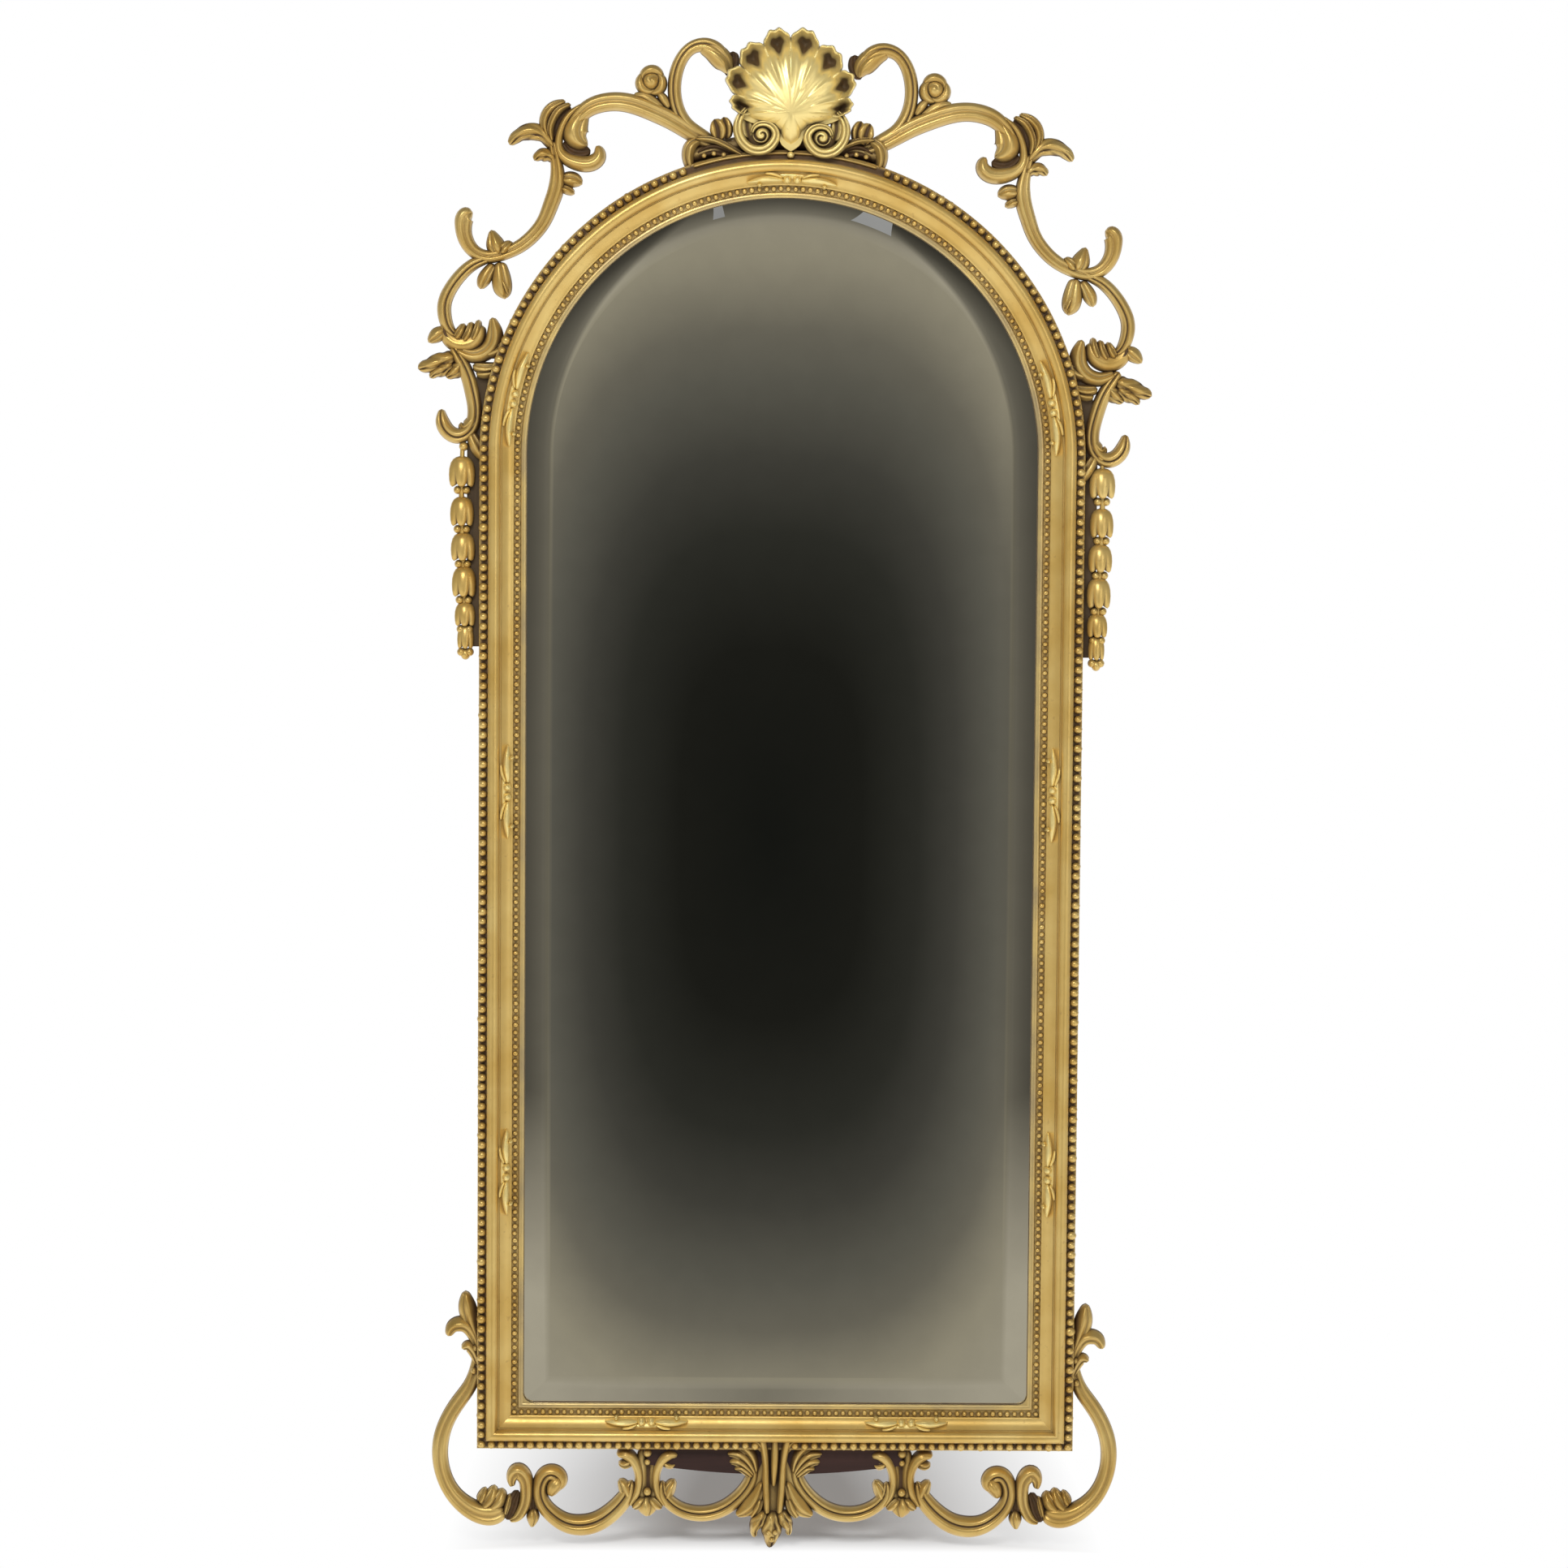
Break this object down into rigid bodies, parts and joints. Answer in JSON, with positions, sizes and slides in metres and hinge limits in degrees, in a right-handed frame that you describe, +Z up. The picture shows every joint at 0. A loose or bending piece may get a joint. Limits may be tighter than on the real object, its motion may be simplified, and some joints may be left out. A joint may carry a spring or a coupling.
{
  "type": "wall mirror",
  "caption": "Arched giltwood wall mirror with a bevelled plate, pearl moulding, pierced shell cresting, scroll brackets, husk drops and a scrolled apron; hangs by swinging rings.",
  "frame": {"origin": "on the wall plane, behind the centre of the arched head", "axes": "+Z up along the sides, +Y into the wall, so the plate faces -Y; +X to the right of a viewer"},
  "size_m": [0.6769, 0.0484, 1.399],
  "materials": {
    "gilt": "carved wood, oil gilded and worn, with dark recesses",
    "dark_wood": "red-brown stained backing wood",
    "bare_wood": "bare pine, aged",
    "mirror": "silvered plate glass with a wide bevel",
    "steel": "dull plated steel",
    "felt": "felt pad"
  },
  "bodies": {
    "frame": {"apron_board": "dark_wood", "apron_clasps": "gilt", "apron_drop": "gilt", "apron_inner_scroll_left": "gilt", "apron_inner_scroll_right": "gilt", "apron_outer_scroll_left": "gilt", "apron_outer_scroll_right": "gilt", "arch_left": "gilt", "arch_right": "gilt", "backboard": "bare_wood", "bottom_rail": "gilt", "bracket_leaves": "gilt", "bracket_left": "gilt", "bracket_right": "gilt", "branch_scroll_left": "gilt", "branch_scroll_right": "gilt", "corner_scroll_left": "gilt", "corner_scroll_right": "gilt", "crest_leaves": "gilt", "crest_loop_left": "gilt", "crest_loop_right": "gilt", "crest_plate": "gilt", "crest_scroll_left": "gilt", "crest_scroll_right": "gilt", "crown_spray": "gilt", "foot_leaves": "gilt", "frame_dowels": "bare_wood", "glass_spacers": "bare_wood", "glazing_points": "steel", "hanger_screws": "steel", "hanger_strap_left": "steel", "hanger_strap_right": "steel", "husk_drop_left": "gilt", "husk_drop_right": "gilt", "inner_beading_arch": "gilt", "inner_beading_rail": "gilt", "inner_beading_stiles": "gilt", "mirror_plate": "mirror", "mitre_keys": "bare_wood", "ornament_dowels": "bare_wood", "outer_beading_arch": "gilt", "outer_beading_rail": "gilt", "outer_beading_stiles": "gilt", "rail_sprays": "gilt", "rosettes": "gilt", "s_curls": "gilt", "shell": "gilt", "shoulder_buds": "gilt", "shoulder_scroll_left": "gilt", "shoulder_scroll_right": "gilt", "shoulder_sprays": "gilt", "side_slips": "dark_wood", "stile_left": "gilt", "stile_right": "gilt", "stile_sprays": "gilt", "volutes": "gilt", "wall_bumpers": "felt"},
    "ring_left": {"hanger_ring_left": "steel"},
    "ring_right": {"hanger_ring_right": "steel"}
  },
  "joints": [
    {"name": "ring_left_swing", "type": "hinge", "parent": "frame", "child": "ring_left", "pos_m": [-0.2605, -0.0029, -0.0165], "axis": [1, 0, 0], "range_deg": [0, 180]},
    {"name": "ring_right_swing", "type": "hinge", "parent": "frame", "child": "ring_right", "pos_m": [0.2605, -0.0029, -0.0165], "axis": [1, 0, 0], "range_deg": [0, 180]}
  ]
}
